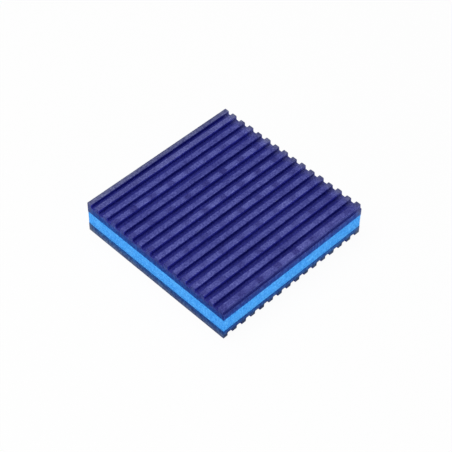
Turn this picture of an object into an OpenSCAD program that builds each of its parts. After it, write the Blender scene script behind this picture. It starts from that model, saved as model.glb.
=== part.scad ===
// Anti-vibration machine pad: a foam core between two ribbed rubber sheets.
// The ribs of the top sheet run along X and those of the bottom sheet along Y.
// Every second rib is a little taller, so light loads rest on half of the ribs.
// Millimetres, +Z up, origin at the centre of the underside.

/* [Pad] */
// Side of the square pad
pad_side = 101.6; // [50:0.1:305]

/* [Foam core] */
// Thickness of the foam core
foam_t = 9; // [4:0.1:20]

/* [Top sheet] */
// Solid thickness of the top sheet under its ribs
top_web = 4.5; // [1.5:0.1:8]
// Height of the taller top ribs
top_rib_h = 2.7; // [1.5:0.1:5]
// How much lower every second top rib is
top_rib_drop = 0.4; // [0:0.05:0.6]
// How far the row of top ribs lies off centre, towards the back face
top_rib_shift = 0.9; // [-3:0.1:3]

/* [Bottom sheet] */
// Solid thickness of the bottom sheet above its ribs
bottom_web = 3.1; // [1.5:0.1:8]
// Height of the taller bottom ribs
bottom_rib_h = 2.3; // [1.5:0.1:5]
// How much lower every second bottom rib is
bottom_rib_drop = 0.3; // [0:0.05:0.6]
// How far the row of bottom ribs lies off centre, towards the right face
bottom_rib_shift = -0.3; // [-3:0.1:3]

/* [Ribs of both sheets] */
// Distance from one rib to the next
rib_pitch = 6.56; // [5:0.02:10]
// Width of a rib at its crest
rib_crest_w = 3.1; // [2:0.05:4.2]
// Least width of crest that is left on a rib cut off by a face of the pad
edge_crest_w = 2.75; // [1:0.05:4.2]
// Lean of each rib wall from upright, in degrees
rib_draft = 3; // [0:0.5:8]
// Rounding along the edges of a crest
crest_r = 0.35; // [0.1:0.05:0.8]
// Fillet along the foot of a rib
root_r = 0.5; // [0.1:0.05:0.9]

/* [Hidden] */

// Flat steps in each quarter round
arc_steps = 5;
// Flat strip that the fillets leave along the bottom of a groove, at least
groove_floor = 0.3;

rubber_colour = [0.24, 0.26, 0.47];
foam_colour = [0.28, 0.60, 0.93];

half_side = pad_side / 2;
half_crest = rib_crest_w / 2;
// Half of a groove between two crests, less its flat strip
half_groove = (rib_pitch - rib_crest_w - groove_floor) / 2;

foam_z = bottom_rib_h + bottom_web;
top_z = foam_z + foam_t;

// Points along an arc about a centre, from one angle to another
function arc(centre, radius, from, to) = [
    for (i = [0 : arc_steps])
        let (angle = from + (to - from) * i / arc_steps)
        centre + radius * [cos(angle), sin(angle)]
];

// The largest fillet that still leaves room in the groove beside a rib of this height
function root_limit(height) =
    (half_groove * cos(rib_draft) - height * sin(rib_draft)) / (1 - sin(rib_draft));

// The rounding and the fillet of a rib, held to half of its crest, wall and groove
function crest_radius(height) = min(crest_r, half_crest, height / 2);
function root_radius(height) = min(root_r, height / 2, root_limit(height));

// How far the foot of a rib reaches from its middle, its fillet included
function foot_reach(height) =
    let (r = root_radius(height))
    half_crest + ((height - r) * sin(rib_draft) + r) / cos(rib_draft);

// One side of a rib from the middle of its crest down to the web, to the right of x = 0
function rib_side(web, height) =
    let (
        crest = crest_radius(height),
        root = root_radius(height),
        crest_x = half_crest - crest * (1 - sin(rib_draft)) / cos(rib_draft),
        top = web + height
    )
    concat(
        arc([crest_x, top - crest], crest, 90, rib_draft),
        arc([foot_reach(height), web + root], root, 180 + rib_draft, 270)
    );

// The same side where the rib reaches a face of the pad and is cut off flush with it
function cut_side(web, height, reach) = [[reach, web + height]];

// The right side of a rib at this place, cut where its foot would pass the face
function fitted_side(web, height, room) =
    foot_reach(height) < room ? rib_side(web, height) : cut_side(web, height, room);

// How far a rib can lie off its place in the row before its foot meets the next one
function spare_groove(height) = rib_pitch - 2 * foot_reach(height) - groove_floor;

// The place of a rib, which lies further in where a face would leave too little of its crest
function fitted_place(x, height) =
    let (
        crest_left = half_side - abs(x) + half_crest,
        missing = min(edge_crest_w, rib_crest_w) - crest_left
    )
    x - sign(x) * max(0, min(missing, spare_groove(height)));

function mirrored(points) = [for (i = [len(points) - 1 : -1 : 0]) [-points[i][0], points[i][1]]];
function moved(points, x) = [for (p = points) [p[0] + x, p[1]]];

// A whole rib from left to right, in the section across the ribs
function rib(web, height, x) = concat(
    moved(mirrored(fitted_side(web, height, half_side + x)), x),
    moved(fitted_side(web, height, half_side - x), x)
);

// Section across a ribbed sheet: flat underneath, ribs of two heights in turn on top
function sheet_section(web, rib_h, drop, shift) =
    let (
        last = ceil(half_side / rib_pitch) + 1,
        ribs = [
            for (k = [-last : last])
                let (x = (k + 0.5) * rib_pitch + shift, height = k % 2 == 0 ? rib_h : rib_h - drop)
                if (abs(x) < half_side) rib(web, height, fitted_place(x, rib_h))
        ],
        first_x = ribs[0][0][0],
        last_x = ribs[len(ribs) - 1][len(ribs[len(ribs) - 1]) - 1][0],
        left_ledge = first_x > -half_side ? [[-half_side, web]] : [],
        right_ledge = last_x < half_side ? [[half_side, web]] : []
    )
    concat(
        [[-half_side, 0]],
        left_ledge,
        [for (points = ribs) each points],
        right_ledge,
        [[half_side, 0]]
    );

// A ribbed sheet on z = 0, with ribs upwards that run along X
module ribbed_sheet(web, rib_h, drop, shift) {
    rotate([90, 0, 90])
        linear_extrude(height = pad_side, center = true)
            polygon(sheet_section(web, rib_h, drop, shift));
}

module top_ribbed_sheet() {
    color(rubber_colour)
        translate([0, 0, top_z])
            ribbed_sheet(top_web, top_rib_h, top_rib_drop, top_rib_shift);
}

module foam_core() {
    color(foam_colour)
        translate([-half_side, -half_side, foam_z])
            cube([pad_side, pad_side, foam_t]);
}

// The same sheet turned over about the diagonal, so that its ribs run along Y and face down
module bottom_ribbed_sheet() {
    color(rubber_colour)
        translate([0, 0, foam_z])
            rotate([180, 0, 90])
                ribbed_sheet(bottom_web, bottom_rib_h, bottom_rib_drop, bottom_rib_shift);
}

top_ribbed_sheet();
foam_core();
bottom_ribbed_sheet();
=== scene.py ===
"""Looks of the anti-vibration machine pad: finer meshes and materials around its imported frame."""
import math
from collections import Counter, defaultdict

import bpy
from mathutils import Matrix, Vector, noise


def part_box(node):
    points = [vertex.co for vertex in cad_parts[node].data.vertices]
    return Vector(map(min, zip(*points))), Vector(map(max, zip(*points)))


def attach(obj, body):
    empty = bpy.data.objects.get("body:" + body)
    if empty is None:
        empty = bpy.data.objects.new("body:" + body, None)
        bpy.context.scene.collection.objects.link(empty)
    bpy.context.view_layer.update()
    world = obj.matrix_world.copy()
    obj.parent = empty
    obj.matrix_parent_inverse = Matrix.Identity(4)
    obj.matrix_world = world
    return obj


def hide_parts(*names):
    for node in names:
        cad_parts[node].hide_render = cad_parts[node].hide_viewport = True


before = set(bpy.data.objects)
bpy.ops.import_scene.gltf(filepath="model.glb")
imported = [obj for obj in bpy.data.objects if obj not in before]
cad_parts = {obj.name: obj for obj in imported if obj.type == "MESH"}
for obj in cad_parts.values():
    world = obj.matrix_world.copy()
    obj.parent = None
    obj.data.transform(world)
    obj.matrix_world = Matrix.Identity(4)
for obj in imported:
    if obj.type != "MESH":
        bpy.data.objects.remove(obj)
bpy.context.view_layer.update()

MM = 0.001
X, Y, Z = 0, 1, 2

# Tolerance for places that are the same, and the decimals they are rounded to
SAME = 1e-6
DIGITS = 7

# Meshes: turn of a corner that is rounded, angle of an edge that is shaded sharp
SHARP_TURN = math.radians(60)
CREASE_ANGLE = math.radians(50)

# Ribbed sheets: rounded knife cuts, mesh steps, and what counts as floor, rib and tall rib
CUT_EDGE_R = 0.08 * MM
CUT_CORNER_R = 0.12 * MM
CORNER_SHARE = 0.8
CUT_EDGE_STEPS = 3
OUTLINE_STEP = 0.5 * MM
STEP_SLACK = 0.01
STATION_STEP = 1.0 * MM
FLOOR_POINTS = 20
FOOT_CLEAR = 0.02 * MM
TALL_CLEAR = 0.1 * MM

# Soft ribs: how far they sway and sag, over what length, and where; dents where other pads pressed
RIB_SEED = 37
SWAY = 0.10 * MM
SWAY_LENGTH = 17 * MM
SWAY_ROOM = (0.2 * MM, 2.5 * MM)
SAG = 0.05 * MM
SAG_LENGTH = 11 * MM
SAG_SEED = 9
SAG_RISE = (0.5, 1)
DENT = 0.06 * MM
DENT_HALF = 1.9 * MM

# Foam block: mesh step, corners, the waves and cells of its cut sides, and the seam at each bond
FOAM_STEP = 0.30 * MM
FOAM_CORNER_R = 0.15 * MM
FOAM_CORNER_STEPS = 4
FOAM_HOLLOW = 0.05 * MM
FOAM_WAVE = 0.05 * MM
FOAM_WAVE_LENGTH = 9 * MM
FOAM_CELL_RELIEF = 0.05 * MM
FOAM_CELL = 0.8 * MM
SEAM_DEPTH = 0.12 * MM
SEAM_REACH = 1.2 * FOAM_STEP

# Colours, linear: moulded rubber, its marks and dust, painted shade, light and highlights, and foam
CREST = (0.068, 0.074, 0.305)
# Below, the groove wall and groove floor colours and the outer wall's foot are the rubber darkened by
# painted shade
SHADED_GROOVE_WALL = (0.018, 0.020, 0.275)
OUTER_WALL = (0.054, 0.062, 0.262)
SHADED_OUTER_FOOT = (0.014, 0.020, 0.165)
SHADED_GROOVE_FLOOR = (0.028, 0.031, 0.238)
MARK = (0.030, 0.030, 0.188)
# Pale scuff colour of torn rib ends, also used for painted highlights flecked along the crest edges
SCUFF_AND_GLINT = (0.160, 0.175, 0.400)
# Pale bloom colour of the back crests, also used as painted light in the right-hand groove ends
BLOOM_AND_LIGHT = (0.105, 0.112, 0.325)
DUST = (0.125, 0.134, 0.165)
FOAM = (0.058, 0.355, 0.900)
FOAM_PIT = (0.034, 0.250, 0.760)
FOAM_PALE = (0.100, 0.430, 0.950)

# How strongly grain shows in red, green and blue: its pale parts are greyer and its dark ones bluer
RUBBER_GRAIN = (1.4, 1.4, 0.8)
FOAM_GRAIN = (2.6, 1.6, 0.9)

# Levels that most of a noise lies between; each noise below is a size, a detail and a roughness
NOISE_LEVELS = (0.25, 0.75)
NOISE_MIDDLE = 0.5

# Rubber: shares of a rib's height over which colours and painted shade change, and the crest's highlight
# edge
FLOOR_RISE = (0.0, 0.10)
OUTER_RISE = (0.12, 0.55)
CREST_RISE = (0.84, 0.97)
EDGE_BEGINS = (0.86, 0.93)
EDGE_ENDS = (0.93, 1.0)

# Rubber: noises in its tone, how far each of them strays, and specks of painted highlight on crest edges
RIBWISE_SCALE = 0.22
CLOUD = (3.2 * MM, 4, 0.6)
CLOUD_SPREAD = 0.12
STREAK = (0.9 * MM, 3, 0.6)
STREAK_SPREAD = 0.18
MOTTLE = (0.9 * MM, 3, 0.6)
MOTTLE_SPREAD = 0.55
DRIFT = (6.5 * MM, 1, 0.5)
DRIFT_SPREAD = 0.18
FLECK = (1.2 * MM, 4, 0.7)
FLECK_LEVELS = (0.58, 0.68)

# Rubber: gloss, pores and the relief of the streaks
RUBBER_SPECULAR = 0.09
RUBBER_ROUGHNESS = (0.66, 0.82)
ROUGHNESS_LEVELS = (0.3, 0.7)
PORE = (0.35 * MM, 3, 0.6)
PORE_DEPTH = 0.04 * MM
STREAK_DEPTH = 0.06 * MM
RUBBER_BUMP = 0.5

# Marks that the tall ribs of other pads leave on the tall crests, and the paler stretches between
MARK_SHIFT = -0.35 * MM
MARK_HALF = 2.1 * MM
MARK_EDGE = (0.7 * MARK_HALF, 1.2 * MARK_HALF)
MARK_RAGGED = (1.8 * MM, 3, 0.5)
MARK_STRAY = 2.2 * MM
PALE_EDGE = (MARK_HALF, 2 * MARK_HALF)
PALE_LIFT = 1.18

# Where the marks are plainest: the middle and reach of each spot, which is longer along the ribs
WEAR_SPOTS = (
    ((20 * MM, 8 * MM), 56 * MM),
    ((-26 * MM, 31 * MM), 26 * MM),
    ((-8 * MM, -49 * MM), 36 * MM),
)
WEAR_ACROSS = 1.8
WEAR_FULL = 0.5
WEAR_ELSEWHERE = 0.50
WEAR_PATCH = (16 * MM, 2, 0.5)
WEAR_LEVELS = (0.35, 0.65)
WEAR_LEAST = 0.65

# Bloom on the back crests, painted light in the right-hand groove ends, and dust at the back and right
# edges
BLOOM_BACK = (14.8 * MM, 7.8 * MM)
BLOOM_BACK_SHARE = 0.5
LIT_GROOVE_END = (6 * MM, 1 * MM)
LIT_GROOVE_END_SHARE = 0.75
DUST_REACH = (0.3 * MM, 5.5 * MM)
CREST_DUST = 0.55

# Knife-cut faces: colours at three shares of the height from the bond, across rib ends and along ribs
CUT_HEIGHTS = (0.02, 0.35, 0.66)
TOP_ENDS = ((0.004, 0.052, 0.280), (0.011, 0.049, 0.250), (0.031, 0.042, 0.212))
TOP_SIDES = ((0.010, 0.056, 0.315), (0.019, 0.049, 0.258), (0.031, 0.042, 0.218))
BOTTOM_ENDS = ((0.011, 0.074, 0.320), (0.022, 0.076, 0.248), (0.028, 0.046, 0.108))
# The bottom sheet's sides grow paler and greyer towards the floor, in part painted light bounced from the
# floor
BOTTOM_SIDES = ((0.006, 0.058, 0.240), (0.020, 0.066, 0.212), (0.062, 0.090, 0.190))

# Knife-cut faces: drag lines, patches and torn rib ends
DRAG = (0.8 * MM, 3, 0.65)
DRAG_UPRIGHT_SCALE = 0.3
DRAG_SPREAD = 0.40
PATCH = (1.4 * MM, 4, 0.6)
PATCH_SPREAD = 0.55
TORN = (1.1 * MM, 4, 0.7)
TORN_LEVELS = (0.56, 0.68)
TORN_HEIGHTS = (0.55, 0.75)
TORN_SHARE = 0.40

# Knife-cut faces: tone at the front corner, darker, and from the side corners on, paler, and dust at the
# latter
CUT_FRONT_TO_BACK = (0.86, 1.16)
CUT_DUST = 0.40

# Foam: cut cells, specks and pale clouds, and the shade and its reach towards each bond
PIT_SIZE = 0.45 * MM
PIT_RADII = (0.05, 0.55)
PIT_LEVELS = (0.42, 0.68)
PIT_SHARE = 0.9
SPECK = (1.0 * MM, 4, 0.6)
SPECK_SPREAD = 0.32
FOAM_CLOUD = (5 * MM, 3, 0.5)
FOAM_PALE_LEVELS = (0.35, 0.7)
FOAM_PALE_SHARE = 0.5
LOW_SHADE = 0.86
LOW_SHADE_REACH = 3.2 * MM
HIGH_SHADE = 0.90
HIGH_SHADE_REACH = 1.2 * MM

# Foam: gloss, and the relief of its cells and specks
FOAM_SPECULAR = 0.12
FOAM_ROUGHNESS = 0.85
PIT_DEPTH = 0.05 * MM
PIT_BUMP = 0.6
SPECK_DEPTH = 0.05 * MM
SPECK_BUMP = 0.5

# Camera, from the photograph's perspective, with its angles in degrees
CAMERA_AZIMUTH = -45.469
CAMERA_ELEVATION = 48.558
CAMERA_ROLL = 0.995
CAMERA_DISTANCE = 764.905 * MM
CAMERA_AIM = Vector((0, 0, 11 * MM))
CAMERA_AIM_RIGHT = 0.798 * MM
CAMERA_AIM_UP = -4.689 * MM
CAMERA_FOCAL_PX = 1448.566
CAMERA_NEAREST = 10 * MM
IMAGE_PX = 452
SENSOR_MM = 36

# Floor, backdrop and lights, in metres and watts: name, place, aim, size and power of each softbox
BACKDROP = (1.0, 1.0, 1.0)
FLOOR_COLOUR = (0.86, 0.87, 0.87)
FLOOR_ROUGHNESS = 0.9
FLOOR_SIDE = 6.0
FLOOR_WHITE_SHARE = 0.95
WORLD_LIGHT = 0.30
SOFTBOXES = (
    ("top_softbox", (-0.09, 0.14, 0.60), (0, 0, 0), (0.55, 0.55), 2.45),
    ("front_fill", (0.05, -0.75, 0.16), (0, 0, 0.01), (0.80, 0.25), 2.6),
    ("left_fill", (-0.75, 0.05, 0.16), (0, 0, 0.01), (0.80, 0.25), 2.1),
)


# Outlines of the ribbed sheets, read from the frame

def sides_of(ring):
    """Each point of a closed outline, with the one that follows it."""
    return zip(ring, ring[1:] + ring[:1])


def edge_links(faces):
    """The two neighbours of each point along the outer edge of a patch of faces."""
    uses = Counter(frozenset(side) for ring in faces for side in sides_of(ring))
    links = defaultdict(list)
    for side, count in uses.items():
        if count == 1 and len(side) == 2:
            a, b = side
            links[a].append(b)
            links[b].append(a)
    return links


def walked(links):
    """The linked points in order, once round."""
    start = min(links)
    outline = [start, links[start][0]]
    while True:
        a, b = links[outline[-1]]
        following = b if a == outline[-2] else a
        if following == start:
            return outline
        outline.append(following)


def end_outline(node, along, bond):
    """A node's end face as anticlockwise (across, height) points, from its bond side on."""
    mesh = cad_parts[node].data
    across = Y if along == X else X
    low = min(v.co[along] for v in mesh.vertices)
    faces = []
    for face in mesh.polygons:
        corners = [mesh.vertices[i].co for i in face.vertices]
        if all(abs(co[along] - low) < SAME for co in corners):
            faces.append([(round(co[across], DIGITS), round(co[Z], DIGITS)) for co in corners])
    outline = walked(edge_links(faces))
    if sum(p[0] * q[1] - q[0] * p[1] for p, q in sides_of(outline)) < 0:
        outline.reverse()
    on_bond = [max(abs(p[1] - bond), abs(q[1] - bond)) < SAME for p, q in sides_of(outline)]
    first = on_bond.index(True)
    return outline[first:] + outline[:first]


def rounded(outline, bond, radius, steps):
    """The outline with its sharp outer corners rounded, apart from those on the bond plane."""
    points = []
    count = len(outline)
    for i, here in enumerate(outline):
        p = Vector(here)
        back = Vector(outline[i - 1]) - p
        ahead = Vector(outline[(i + 1) % count]) - p
        turn = math.pi - back.angle(ahead)
        if turn < SHARP_TURN or abs(p.y - bond) < SAME:
            points.append(p)
            continue
        reach = min(radius, CORNER_SHARE * back.length, CORNER_SHARE * ahead.length)
        back.normalize()
        ahead.normalize()
        centre = p + (back + ahead) * reach
        for k in range(steps + 1):
            angle = math.pi / 2 * k / steps
            points.append(centre - ahead * reach * math.cos(angle) - back * reach * math.sin(angle))
    return points


def divided(points, step, bond):
    """The outline with long stretches cut into short ones, apart from the hidden bond face."""
    out = []
    for p, q in sides_of(points):
        out.append(p)
        if abs(p.y - bond) < SAME and abs(q.y - bond) < SAME:
            continue
        pieces = max(1, math.ceil((q - p).length / step - STEP_SLACK))
        out.extend(p.lerp(q, k / pieces) for k in range(1, pieces))
    return out


class Rib:
    """One rib of a section: its middle, its height over the bond, and its run of outline points."""

    def __init__(self, sheet, run):
        places = [sheet.points[i].x for i in run]
        self.middle = (min(places) + max(places)) / 2
        self.top = max(sheet.heights[i] for i in run)
        self.first, self.last = run[0], run[-1]


class Sheet:
    """A ribbed sheet's section: its outline, the ribs along it, and how far up its rib each point is."""

    def __init__(self, node, along):
        self.node = node
        self.along = along
        self.across = Y if along == X else X
        low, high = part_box(node)
        self.upwards = low.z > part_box("foam_core")[0].z
        self.bond = low.z if self.upwards else high.z
        self.tip = high.z if self.upwards else low.z
        self.half = high[self.across]
        raw = rounded(end_outline(node, along, self.bond), self.bond, CUT_CORNER_R, CUT_EDGE_STEPS)
        self.points = divided(raw, OUTLINE_STEP, self.bond)
        self.heights = [abs(p.y - self.bond) for p in self.points]
        levels = Counter(round(h, DIGITS) for h in self.heights)
        self.web = min(h for h, uses in levels.items() if uses > FLOOR_POINTS)
        self.top = max(self.heights)
        self.ribs = self.find_ribs()
        self.owners = [self.rib_of(i) for i in range(len(self.points))]
        self.rise = [self.rise_on(rib, h) for rib, h in zip(self.owners, self.heights)]

    def find_ribs(self):
        """The ribs, as runs of points that stand over the web."""
        runs = [[]]
        for i, h in enumerate(self.heights):
            if h > self.web + FOOT_CLEAR:
                runs[-1].append(i)
            elif runs[-1]:
                runs.append([])
        return [Rib(self, run) for run in runs if run]

    def rib_of(self, i):
        """The rib that a point of the outline is on, or None."""
        for rib in self.ribs:
            if rib.first <= i <= rib.last:
                return rib
        return None

    def rise_on(self, rib, height):
        """The share of a rib's own height that is reached, or 0 away from the ribs."""
        return (height - self.web) / (rib.top - self.web) if rib else 0

    def is_tall(self, rib):
        return rib is not None and rib.top > self.top - TALL_CLEAR

    def is_outer(self, point):
        """Whether a point lies beyond the middles of the first and last ribs, and so faces no groove."""
        middles = [rib.middle for rib in self.ribs]
        return not min(middles) <= point.x <= max(middles)

    def tall_middles(self):
        """The places of the taller ribs, in order."""
        return sorted(rib.middle for rib in self.ribs if self.is_tall(rib))

    def end_faces(self):
        """The end face in parts, as lists of outline points: one for each rib and one for the web."""
        parts = [list(range(rib.first - 1, rib.last + 2)) for rib in self.ribs]
        web = [i for i, rib in enumerate(self.owners) if rib is None]
        return parts + [web]


# Meshes

def new_object(name, verts, faces, material):
    mesh = bpy.data.meshes.new(name)
    mesh.from_pydata(verts, [], faces)
    mesh.validate()
    mesh.polygons.foreach_set("use_smooth", [True] * len(mesh.polygons))
    mesh.set_sharp_from_angle(angle=CREASE_ANGLE)
    mesh.materials.append(material)
    obj = bpy.data.objects.new(name, mesh)
    bpy.context.scene.collection.objects.link(obj)
    return obj


def set_attribute(obj, name, values):
    layer = obj.data.attributes.new(name, "FLOAT", "POINT")
    layer.data.foreach_set("value", [float(v) for v in values])


def smooth_step(low, high, value):
    t = min(1, max(0, (value - low) / (high - low)))
    return t * t * (3 - 2 * t)


def inward_normals(points):
    """For each point of an anticlockwise outline, the step inwards that moves both its sides by one."""
    steps = []
    count = len(points)
    for i, p in enumerate(points):
        before = (p - points[i - 1]).normalized()
        after = (points[(i + 1) % count] - p).normalized()
        mean = Vector((-before.y - after.y, before.x + after.x))
        steps.append(mean * (2 / mean.length_squared))
    return steps


def stations(half):
    """(place, inset) of each section along a sheet: rounded cut edges at the ends, even steps between."""
    ends = []
    for k in range(CUT_EDGE_STEPS + 1):
        angle = math.pi / 2 * k / CUT_EDGE_STEPS
        ends.append((CUT_EDGE_R * (1 - math.cos(angle)), CUT_EDGE_R * (1 - math.sin(angle))))
    inner = half - CUT_EDGE_R
    count = round(2 * inner / STATION_STEP)
    middle = [(-inner + 2 * inner * k / count, 0) for k in range(1, count)]
    left = [(-half + t, inset) for t, inset in ends]
    right = [(half - t, inset) for t, inset in reversed(ends)]
    return left + middle + right


def sheet_verts(sheet, rows, crossings):
    """A sheet's points, section by section: ribs sway and sag, and tall ones have dents at crossings."""
    inward = inward_normals(sheet.points)
    down = -1 if sheet.upwards else 1
    verts = []
    for place, inset in rows:
        away = min((abs(place - c) for c in crossings), default=math.inf)
        dent = DENT * (1 - smooth_step(0, DENT_HALF, away))
        for i, p in enumerate(sheet.points):
            step = inward[i] * inset
            if sheet.heights[i] < SAME:
                step.y = 0
            u, z = p + step
            rib = sheet.owners[i]
            if rib:
                seed = rib.middle * RIB_SEED / MM
                room = smooth_step(*SWAY_ROOM, sheet.half - abs(p.x))
                u += SWAY * sheet.rise[i] * room * noise.noise((place / SWAY_LENGTH, seed, 0))
                sag = SAG * abs(noise.noise((place / SAG_LENGTH, seed, SAG_SEED)))
                if sheet.is_tall(rib):
                    sag += dent
                z += down * sag * smooth_step(*SAG_RISE, sheet.rise[i])
            verts.append((place, u, z) if sheet.along == X else (u, place, z))
    return verts


def sheet_faces(sheet, row_count):
    """The faces between a sheet's sections, and its two end faces in parts."""
    count = len(sheet.points)
    faces = []
    for r in range(row_count - 1):
        a, b = r * count, (r + 1) * count
        for i in range(count):
            j = (i + 1) % count
            faces.append((a + i, b + i, b + j, a + j))
    last = (row_count - 1) * count
    for part in sheet.end_faces():
        faces.append(tuple(part))
        faces.append(tuple(last + i for i in reversed(part)))
    if sheet.along == X:
        faces = [tuple(reversed(face)) for face in faces]
    return faces


def sheet_piece(name, sheet, material, crossings):
    """The sheet as a fine mesh, with what its material needs to know about each point."""
    rows = stations(sheet.half)
    verts = sheet_verts(sheet, rows, crossings)
    obj = new_object(name, verts, sheet_faces(sheet, len(rows)), material)
    count = len(sheet.points)
    last = (len(rows) - 1) * count
    for edge in obj.data.edges:
        if max(edge.vertices) < count or min(edge.vertices) >= last:
            edge.use_edge_sharp = True

    along_outline = {
        "rise": sheet.rise,
        "tall": [sheet.is_tall(rib) for rib in sheet.owners],
        "outer": [sheet.is_outer(p) for p in sheet.points],
        "side_cut": [abs(abs(p.x) - sheet.half) < FOOT_CLEAR for p in sheet.points],
    }
    for key, values in along_outline.items():
        set_attribute(obj, key, values * len(rows))
    end_cut = [inset > CUT_EDGE_R - SAME for _, inset in rows for _ in sheet.points]
    set_attribute(obj, "end_cut", end_cut)
    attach(obj, "root")
    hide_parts(sheet.node)


def rounded_square(half, radius, step):
    """Points round a square with rounded corners, each with its outward direction."""
    straight = half - radius
    count = round(2 * straight / step)
    points = []
    for quarter in range(4):
        turn = Matrix.Rotation(quarter * math.pi / 2, 2)
        for k in range(count):
            side = Vector((half, -straight + 2 * straight * k / count))
            points.append((turn @ side, turn @ Vector((1, 0))))
        for k in range(FOAM_CORNER_STEPS):
            angle = math.pi / 2 * k / FOAM_CORNER_STEPS
            out = Vector((math.cos(angle), math.sin(angle)))
            points.append((turn @ (Vector((straight, straight)) + out * radius), turn @ out))
    return points


def foam_piece(material):
    """The foam core: a cut block with a fine cell relief on its sides and a fine seam at each bond."""
    low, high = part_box("foam_core")
    ring = rounded_square(high.x, FOAM_CORNER_R, FOAM_STEP)
    levels = round((high.z - low.z) / FOAM_STEP)
    verts = []
    for k in range(levels + 1):
        z = low.z + (high.z - low.z) * k / levels
        edge = min(z - low.z, high.z - z)
        middle = 1 - abs(2 * k / levels - 1)
        seam = SEAM_DEPTH * (1 - smooth_step(0, SEAM_REACH, edge))
        for p, out in ring:
            place = Vector((p.x, p.y, z))
            depth = seam + FOAM_HOLLOW * math.sin(middle * math.pi / 2)
            depth += FOAM_WAVE * (1 + noise.noise(place / FOAM_WAVE_LENGTH)) / 2
            if edge > FOAM_STEP / 2:
                depth += FOAM_CELL_RELIEF * (1 + noise.noise(place / FOAM_CELL)) / 2
            verts.append((p.x - out.x * depth, p.y - out.y * depth, z))
    count = len(ring)
    faces = []
    for k in range(levels):
        a, b = k * count, (k + 1) * count
        faces.extend((a + i, a + (i + 1) % count, b + (i + 1) % count, b + i) for i in range(count))
    faces.append(tuple(reversed(range(count))))
    faces.append(tuple(levels * count + i for i in range(count)))
    obj = new_object("foam_block", verts, faces, material)
    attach(obj, "root")
    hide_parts("foam_core")


# Materials

class Nodes:
    """Short calls for building one material's node tree."""

    # The mix node's sockets for colours
    MIX_A = 6
    MIX_B = 7
    MIX_RESULT = 2

    def __init__(self, name):
        self.material = bpy.data.materials.new(name)
        self.material.use_nodes = True
        self.tree = self.material.node_tree
        self.shader = self.tree.nodes["Principled BSDF"]

    def add(self, kind, **settings):
        node = self.tree.nodes.new(kind)
        for key, value in settings.items():
            setattr(node, key, value)
        return node

    def link(self, source, target):
        """Links a socket, or sets a number, a vector or a colour."""
        if isinstance(source, (int, float)):
            target.default_value = source
        elif isinstance(source, tuple):
            target.default_value = source if len(source) == len(target.default_value) else (*source, 1)
        else:
            self.tree.links.new(source, target)

    def math(self, operation, a, b=0.0):
        node = self.add("ShaderNodeMath", operation=operation)
        self.link(a, node.inputs[0])
        self.link(b, node.inputs[1])
        return node.outputs[0]

    def product(self, *values):
        result = values[0]
        for value in values[1:]:
            result = self.math("MULTIPLY", result, value)
        return result

    def span(self, value, low, high, to_low=0.0, to_high=1.0, kind="SMOOTHSTEP"):
        node = self.add("ShaderNodeMapRange", interpolation_type=kind)
        for source, socket in zip((value, low, high, to_low, to_high), node.inputs):
            self.link(source, socket)
        return node.outputs[0]

    def mix(self, share, a, b, blend="MIX"):
        node = self.add("ShaderNodeMix", data_type="RGBA", blend_type=blend)
        self.link(share, node.inputs["Factor"])
        self.link(a, node.inputs[self.MIX_A])
        self.link(b, node.inputs[self.MIX_B])
        return node.outputs[self.MIX_RESULT]

    def shaded(self, colour, value, powers=(1, 1, 1)):
        """The colour times one value, which is raised to a power for each of red, green and blue."""
        factor = self.add("ShaderNodeCombineXYZ")
        for power, socket in zip(powers, factor.inputs):
            self.link(value if power == 1 else self.math("POWER", value, power), socket)
        return self.mix(1.0, colour, factor.outputs[0], blend="MULTIPLY")

    def ramp(self, value, stops):
        node = self.add("ShaderNodeValToRGB")
        self.link(value, node.inputs[0])
        elements = node.color_ramp.elements
        for element, (position, colour) in zip(elements, (stops[0], stops[-1])):
            element.position = position
            element.color = (*colour, 1)
        for position, colour in stops[1:-1]:
            elements.new(position).color = (*colour, 1)
        return node.outputs[0]

    def attribute(self, name):
        return self.add("ShaderNodeAttribute", attribute_name=name).outputs["Fac"]

    def place(self):
        return self.add("ShaderNodeTexCoord").outputs["Object"]

    def axes(self, place):
        node = self.add("ShaderNodeSeparateXYZ")
        self.link(place, node.inputs[0])
        return node.outputs

    def scaled(self, place, scale):
        node = self.add("ShaderNodeMapping", vector_type="POINT")
        self.link(place, node.inputs["Vector"])
        node.inputs["Scale"].default_value = scale
        return node.outputs[0]

    def distance(self, place, point):
        node = self.add("ShaderNodeVectorMath", operation="DISTANCE")
        self.link(place, node.inputs[0])
        self.link(point, node.inputs[1])
        return node.outputs["Value"]

    def noise(self, place, size, detail, roughness):
        node = self.add("ShaderNodeTexNoise")
        self.link(place, node.inputs["Vector"])
        node.inputs["Scale"].default_value = 1 / size
        node.inputs["Detail"].default_value = detail
        node.inputs["Roughness"].default_value = roughness
        return node.outputs["Fac"]

    def cells(self, place, size):
        """The distance from the middle of the nearest cell, in cells."""
        node = self.add("ShaderNodeTexVoronoi", feature="F1")
        self.link(place, node.inputs["Vector"])
        node.inputs["Scale"].default_value = 1 / size
        return node.outputs["Distance"]

    def tone(self, value, spread):
        """A noise value as a factor about one, which strays by the spread at most."""
        return self.span(value, *NOISE_LEVELS, 1 - spread, 1 + spread, kind="LINEAR")

    def bump(self, height, distance, strength, below=None):
        node = self.add("ShaderNodeBump")
        node.inputs["Strength"].default_value = strength
        node.inputs["Distance"].default_value = distance
        self.link(height, node.inputs["Height"])
        if below is not None:
            self.link(below, node.inputs["Normal"])
        return node.outputs[0]


def worn_share(n, place, height):
    """How plain the contact marks are at a place: plainest at the wear spots, and patchy."""
    share = WEAR_ELSEWHERE
    for (x, y), reach in WEAR_SPOTS:
        away = n.distance(n.scaled(place, (1, WEAR_ACROSS, 1)), (x, y * WEAR_ACROSS, height))
        share = n.math("MAXIMUM", share, n.span(away, WEAR_FULL * reach, reach, 1.0, 0.0))
    patchy = n.span(n.noise(place, *WEAR_PATCH), *WEAR_LEVELS, WEAR_LEAST, 1.0)
    return n.math("MULTIPLY", share, patchy)


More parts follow.
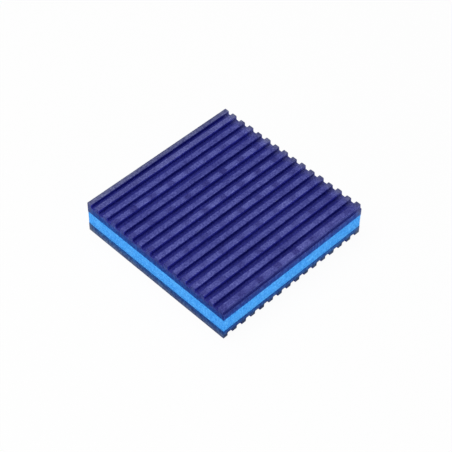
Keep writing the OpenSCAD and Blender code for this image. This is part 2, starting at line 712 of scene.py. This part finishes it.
def marked(n, colour, sheet, place, crest, crossings):
    """The crest colour with ragged dark marks where tall ribs crossed it, and paler parts between."""
    period = (crossings[-1] - crossings[0]) / (len(crossings) - 1)
    uneven = n.math("SUBTRACT", n.noise(place, *MARK_RAGGED), NOISE_MIDDLE)
    from_first = n.math("SUBTRACT", n.axes(place)[sheet.along], crossings[0] + MARK_SHIFT)
    strayed = n.math("ADD", from_first, n.math("MULTIPLY", uneven, MARK_STRAY))
    away = n.math("PINGPONG", strayed, period / 2)
    worn = n.product(worn_share(n, place, sheet.tip), crest, n.attribute("tall"))
    pale = n.span(away, *PALE_EDGE, 1.0, PALE_LIFT)
    lifted = n.math("ADD", n.product(n.math("SUBTRACT", pale, 1.0), worn), 1.0)
    mark = n.span(away, *MARK_EDGE, 1.0, 0.0)
    return n.mix(n.math("MULTIPLY", mark, worn), n.shaded(colour, lifted, RUBBER_GRAIN), MARK)


def bloom_light_and_dust(n, colour, sheet, place, crest):
    """The colour with bloom on back crests, painted light in right-hand groove ends, and dust at both
    edges.
    """
    axes = n.axes(place)
    at_back = n.span(axes[Y], *(sheet.half - room for room in BLOOM_BACK), 0.0, BLOOM_BACK_SHARE)
    colour = n.mix(n.product(at_back, n.attribute("tall"), crest), colour, BLOOM_AND_LIGHT)
    # Painted light: groove walls and floors grow paler towards their right-hand ends
    lit_end = n.span(axes[X], *(sheet.half - room for room in LIT_GROOVE_END), 0.0, LIT_GROOVE_END_SHARE)
    colour = n.mix(n.math("MULTIPLY", lit_end, n.math("SUBTRACT", 1.0, crest)), colour, BLOOM_AND_LIGHT)
    from_edge = n.math("SUBTRACT", sheet.half, n.math("MAXIMUM", axes[X], axes[Y]))
    dust = n.span(from_edge, *DUST_REACH, CREST_DUST, 0.0)
    return n.mix(n.math("MULTIPLY", dust, crest), colour, DUST)


def cut_colour(n, sheet, place, ends, sides):
    """The colour of knife-cut faces: bluest at the bond, with upright drag lines and torn rib ends."""
    axes = n.axes(place)
    height = n.span(axes[Z], sheet.bond, sheet.tip, kind="LINEAR")
    ramps = [n.ramp(height, list(zip(CUT_HEIGHTS, colours))) for colours in (sides, ends)]
    colour = n.mix(n.attribute("end_cut"), *ramps)
    drag = n.noise(n.scaled(place, (1, 1, DRAG_UPRIGHT_SCALE)), *DRAG)
    patch = n.noise(place, *PATCH)
    depth = n.math("ADD", axes[X], axes[Y])
    front_to_back = n.span(depth, -2 * sheet.half, 0.0, *CUT_FRONT_TO_BACK, kind="LINEAR")
    tone = n.product(n.tone(drag, DRAG_SPREAD), n.tone(patch, PATCH_SPREAD), front_to_back)
    colour = n.shaded(colour, tone, RUBBER_GRAIN)
    torn = n.span(n.noise(place, *TORN), *TORN_LEVELS, 0.0, TORN_SHARE)
    at_tips = n.span(height, *TORN_HEIGHTS)
    colour = n.mix(n.product(torn, at_tips, n.attribute("end_cut")), colour, SCUFF_AND_GLINT)
    from_corner = n.math("ABSOLUTE", depth)
    return n.mix(n.span(from_corner, *DUST_REACH, CUT_DUST, 0.0), colour, DUST)


def rubber(name, sheet, crossings, ends, sides):
    """Matt navy rubber: pale crests, grooves deep blue in painted shade, cut faces, and marks at the
    crossings.
    """
    n = Nodes(name)
    place = n.place()
    rise = n.attribute("rise")
    crest = n.span(rise, *CREST_RISE)
    # Painted shade: groove walls and floors, and the feet of the outer walls, are darker than the crests
    groove = n.mix(n.span(rise, *FLOOR_RISE), SHADED_GROOVE_FLOOR, SHADED_GROOVE_WALL)
    outer = n.mix(n.span(rise, *OUTER_RISE), SHADED_OUTER_FOOT, OUTER_WALL)
    colour = n.mix(n.attribute("outer"), groove, outer)
    colour = n.mix(crest, colour, CREST)
    if crossings:
        colour = marked(n, colour, sheet, place, crest, crossings)
        colour = bloom_light_and_dust(n, colour, sheet, place, crest)

    ribwise = n.scaled(place, (RIBWISE_SCALE, 1, 1) if sheet.along == X else (1, RIBWISE_SCALE, 1))
    cloud = n.noise(place, *CLOUD)
    streak = n.noise(ribwise, *STREAK)
    tone = n.product(
        n.tone(cloud, CLOUD_SPREAD),
        n.tone(streak, STREAK_SPREAD),
        n.tone(n.noise(place, *MOTTLE), MOTTLE_SPREAD),
        n.tone(n.noise(ribwise, *DRIFT), DRIFT_SPREAD),
    )
    colour = n.shaded(colour, tone, RUBBER_GRAIN)

    # Painted highlights: pale specks along the crests' rounded edges
    edge = n.math("MULTIPLY", n.span(rise, *EDGE_BEGINS), n.span(rise, *EDGE_ENDS, 1.0, 0.0))
    flecks = n.span(n.noise(ribwise, *FLECK), *FLECK_LEVELS)
    colour = n.mix(n.math("MULTIPLY", edge, flecks), colour, SCUFF_AND_GLINT)
    cut = n.math("MAXIMUM", n.attribute("end_cut"), n.attribute("side_cut"))
    colour = n.mix(cut, colour, cut_colour(n, sheet, place, ends, sides))
    n.link(colour, n.shader.inputs["Base Color"])

    roughness = n.span(cloud, *ROUGHNESS_LEVELS, *RUBBER_ROUGHNESS, kind="LINEAR")
    n.link(roughness, n.shader.inputs["Roughness"])
    n.link(RUBBER_SPECULAR, n.shader.inputs["Specular IOR Level"])
    pores = n.bump(n.noise(place, *PORE), PORE_DEPTH, RUBBER_BUMP)
    n.link(n.bump(streak, STREAK_DEPTH, RUBBER_BUMP, below=pores), n.shader.inputs["Normal"])
    return n.material


def foam():
    """Matt blue closed-cell foam with fine cut cells."""
    n = Nodes("blue_foam")
    place = n.place()
    pit = n.span(n.cells(place, PIT_SIZE), *PIT_RADII, 1.0, 0.0)
    speck = n.noise(place, *SPECK)
    cloud = n.noise(place, *FOAM_CLOUD)
    colour = n.mix(n.span(cloud, *FOAM_PALE_LEVELS, 0.0, FOAM_PALE_SHARE), FOAM, FOAM_PALE)
    pitted = n.math("MULTIPLY", pit, n.span(speck, *PIT_LEVELS, 0.0, PIT_SHARE))
    colour = n.mix(pitted, colour, FOAM_PIT)
    colour = n.shaded(colour, n.tone(speck, SPECK_SPREAD), FOAM_GRAIN)

    low, high = (corner.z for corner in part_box("foam_core"))
    height = n.axes(place)[Z]
    shade = n.product(
        n.span(height, low, low + LOW_SHADE_REACH, LOW_SHADE, 1.0),
        n.span(height, high - HIGH_SHADE_REACH, high, 1.0, HIGH_SHADE),
    )
    n.link(n.shaded(colour, shade), n.shader.inputs["Base Color"])

    n.link(FOAM_ROUGHNESS, n.shader.inputs["Roughness"])
    n.link(FOAM_SPECULAR, n.shader.inputs["Specular IOR Level"])
    pits = n.bump(pit, -PIT_DEPTH, PIT_BUMP)
    n.link(n.bump(speck, SPECK_DEPTH, SPECK_BUMP, below=pits), n.shader.inputs["Normal"])
    return n.material


# Camera, light and floor

def add_camera():
    a, e, r = (math.radians(v) for v in (CAMERA_AZIMUTH, CAMERA_ELEVATION, CAMERA_ROLL))
    back = Vector((math.sin(a) * math.cos(e), -math.cos(a) * math.cos(e), math.sin(e)))
    level = Vector((math.cos(a), math.sin(a), 0))
    upright = back.cross(level)
    right = level * math.cos(r) + upright * math.sin(r)
    up = upright * math.cos(r) - level * math.sin(r)
    aim = CAMERA_AIM + right * CAMERA_AIM_RIGHT + up * CAMERA_AIM_UP
    data = bpy.data.cameras.new("camera")
    data.sensor_width = SENSOR_MM
    data.lens = CAMERA_FOCAL_PX / IMAGE_PX * SENSOR_MM
    data.clip_start = CAMERA_NEAREST
    camera = bpy.data.objects.new("camera", data)
    turn = Matrix((right, up, back)).transposed().to_4x4()
    camera.matrix_world = Matrix.Translation(aim + back * CAMERA_DISTANCE) @ turn
    bpy.context.scene.collection.objects.link(camera)
    bpy.context.scene.camera = camera


def add_softbox(name, place, aim, size, power):
    data = bpy.data.lights.new(name, "AREA")
    data.shape = "RECTANGLE"
    data.size, data.size_y = size
    data.energy = power
    lamp = bpy.data.objects.new(name, data)
    lamp.location = place
    lamp.rotation_euler = (Vector(aim) - Vector(place)).to_track_quat("-Z", "Y").to_euler()
    bpy.context.scene.collection.objects.link(lamp)


def seen_white(tree, plain, share):
    """A shader that shows white to the camera, and in gloss and glass, and is plain for other light."""
    path = tree.nodes.new("ShaderNodeLightPath")
    seen = path.outputs["Is Camera Ray"]
    for kind in ("Is Glossy Ray", "Is Transmission Ray"):
        either = tree.nodes.new("ShaderNodeMath")
        either.operation = "MAXIMUM"
        tree.links.new(seen, either.inputs[0])
        tree.links.new(path.outputs[kind], either.inputs[1])
        seen = either.outputs[0]
    part = tree.nodes.new("ShaderNodeMath")
    part.operation = "MULTIPLY"
    part.inputs[1].default_value = share
    tree.links.new(seen, part.inputs[0])
    in_world = plain.node.type == "BACKGROUND"
    white = tree.nodes.new("ShaderNodeBackground" if in_world else "ShaderNodeEmission")
    white.inputs["Color"].default_value = (*BACKDROP, 1)
    mix = tree.nodes.new("ShaderNodeMixShader")
    tree.links.new(part.outputs[0], mix.inputs[0])
    tree.links.new(plain, mix.inputs[1])
    tree.links.new(white.outputs[0], mix.inputs[2])
    return mix.outputs[0]


def add_floor():
    material = bpy.data.materials.new("pale_floor")
    material.use_nodes = True
    tree = material.node_tree
    plain = tree.nodes["Principled BSDF"]
    plain.inputs["Base Color"].default_value = (*FLOOR_COLOUR, 1)
    plain.inputs["Roughness"].default_value = FLOOR_ROUGHNESS
    shown = seen_white(tree, plain.outputs[0], FLOOR_WHITE_SHARE)
    tree.links.new(shown, tree.nodes["Material Output"].inputs["Surface"])
    reach = FLOOR_SIDE / 2
    corners = [(-reach, -reach, 0), (reach, -reach, 0), (reach, reach, 0), (-reach, reach, 0)]
    mesh = bpy.data.meshes.new("floor")
    mesh.from_pydata(corners, [], [(0, 1, 2, 3)])
    mesh.materials.append(material)
    floor = bpy.data.objects.new("floor", mesh)
    bpy.context.scene.collection.objects.link(floor)


def add_world():
    world = bpy.data.worlds.new("studio")
    world.use_nodes = True
    bpy.context.scene.world = world
    tree = world.node_tree
    plain = tree.nodes["Background"]
    plain.inputs["Color"].default_value = (*BACKDROP, 1)
    plain.inputs["Strength"].default_value = WORLD_LIGHT
    shown = seen_white(tree, plain.outputs[0], 1.0)
    tree.links.new(shown, tree.nodes["World Output"].inputs["Surface"])


def main():
    top = Sheet("top_ribbed_sheet", X)
    bottom = Sheet("bottom_ribbed_sheet", Y)
    crossings = bottom.tall_middles()
    top_rubber = rubber("top_rubber", top, crossings, TOP_ENDS, TOP_SIDES)
    bottom_rubber = rubber("bottom_rubber", bottom, [], BOTTOM_ENDS, BOTTOM_SIDES)
    sheet_piece("top_sheet", top, top_rubber, crossings)
    sheet_piece("bottom_sheet", bottom, bottom_rubber, [])
    foam_piece(foam())
    add_camera()
    add_floor()
    add_world()
    for softbox in SOFTBOXES:
        add_softbox(*softbox)
    bpy.context.scene.view_settings.view_transform = "Standard"


main()
